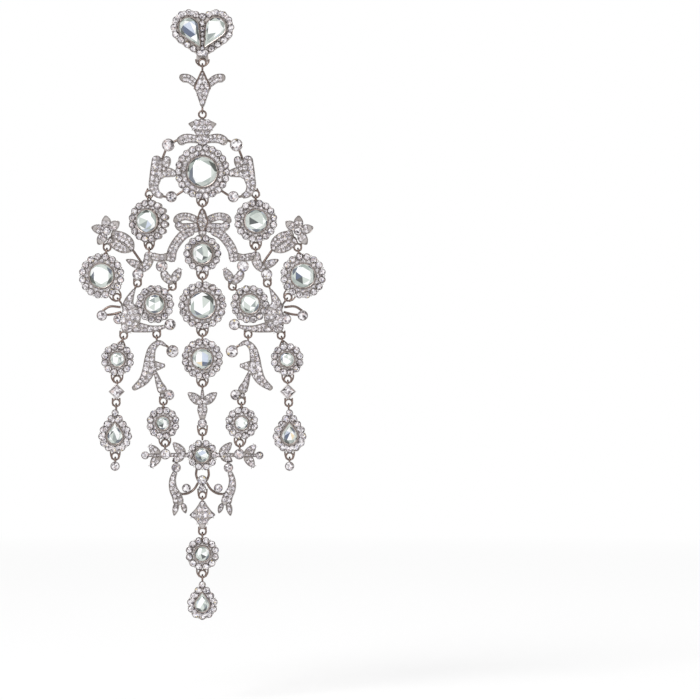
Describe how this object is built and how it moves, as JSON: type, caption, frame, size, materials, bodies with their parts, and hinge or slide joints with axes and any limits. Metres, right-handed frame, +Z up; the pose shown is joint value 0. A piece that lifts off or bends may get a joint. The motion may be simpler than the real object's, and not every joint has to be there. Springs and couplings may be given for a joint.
{
  "type": "chandelier earring",
  "caption": "Post earring with a heart-shaped stud, a short link and a long tiered drop of paved frames, round rose-cut clusters and hanging pendants.",
  "frame": {"origin": "root of the ear post, on the flat back of the heart stud", "axes": "+Z up as worn, +Y along the post towards the ear, so the front faces -Y"},
  "size_m": [0.041, 0.0144, 0.1014],
  "materials": {
    "white_gold": "rhodium-plated white gold, polished, paved with small brilliants",
    "gemstone": "rose-cut diamond, polished flat facets"
  },
  "bodies": {
    "stud": {"ear_post": "white_gold", "stud_setting": "white_gold", "stud_stone_left": "gemstone", "stud_stone_right": "gemstone"},
    "link": {"fleur_link": "white_gold"},
    "drop": {"base_setting": "white_gold", "base_stone": "gemstone", "bell_drop": "white_gold", "bow_setting": "white_gold", "bow_stone": "gemstone", "branch_setting_left": "white_gold", "branch_setting_right": "white_gold", "branch_stone_left": "gemstone", "branch_stone_right": "gemstone", "crown_setting": "white_gold", "crown_stone": "gemstone", "inner_branch_left": "white_gold", "inner_branch_right": "white_gold", "leaf_spray": "white_gold", "lower_setting": "white_gold", "lower_stone": "gemstone", "lozenge_left": "white_gold", "lozenge_right": "white_gold", "middle_setting": "white_gold", "middle_stone": "gemstone", "outer_setting_left": "white_gold", "outer_setting_right": "white_gold", "outer_stone_left": "gemstone", "outer_stone_right": "gemstone", "pear_drop_setting_left": "white_gold", "pear_drop_setting_right": "white_gold", "pear_drop_stone_left": "gemstone", "pear_drop_stone_right": "gemstone", "scroll_setting_left": "white_gold", "scroll_setting_right": "white_gold", "scroll_stone_left": "gemstone", "scroll_stone_right": "gemstone", "string_setting_left": "white_gold", "string_setting_right": "white_gold", "string_stone_left": "gemstone", "string_stone_right": "gemstone", "tail_pear_setting": "white_gold", "tail_pear_stone": "gemstone", "tail_setting": "white_gold", "tail_stone": "gemstone", "tip_drop_left": "white_gold", "tip_drop_right": "white_gold", "upper_setting_left": "white_gold", "upper_setting_right": "white_gold", "upper_stone_left": "gemstone", "upper_stone_right": "gemstone"}
  },
  "joints": [
    {"name": "link_swing", "type": "hinge", "parent": "stud", "child": "link", "pos_m": [0, -0.0012, -0.00565], "axis": [1, 0, 0], "range_deg": [-45, 45]},
    {"name": "drop_swing", "type": "hinge", "parent": "link", "child": "drop", "pos_m": [0, -0.0012, -0.01347], "axis": [0, 1, 0], "range_deg": [-45, 45]}
  ]
}
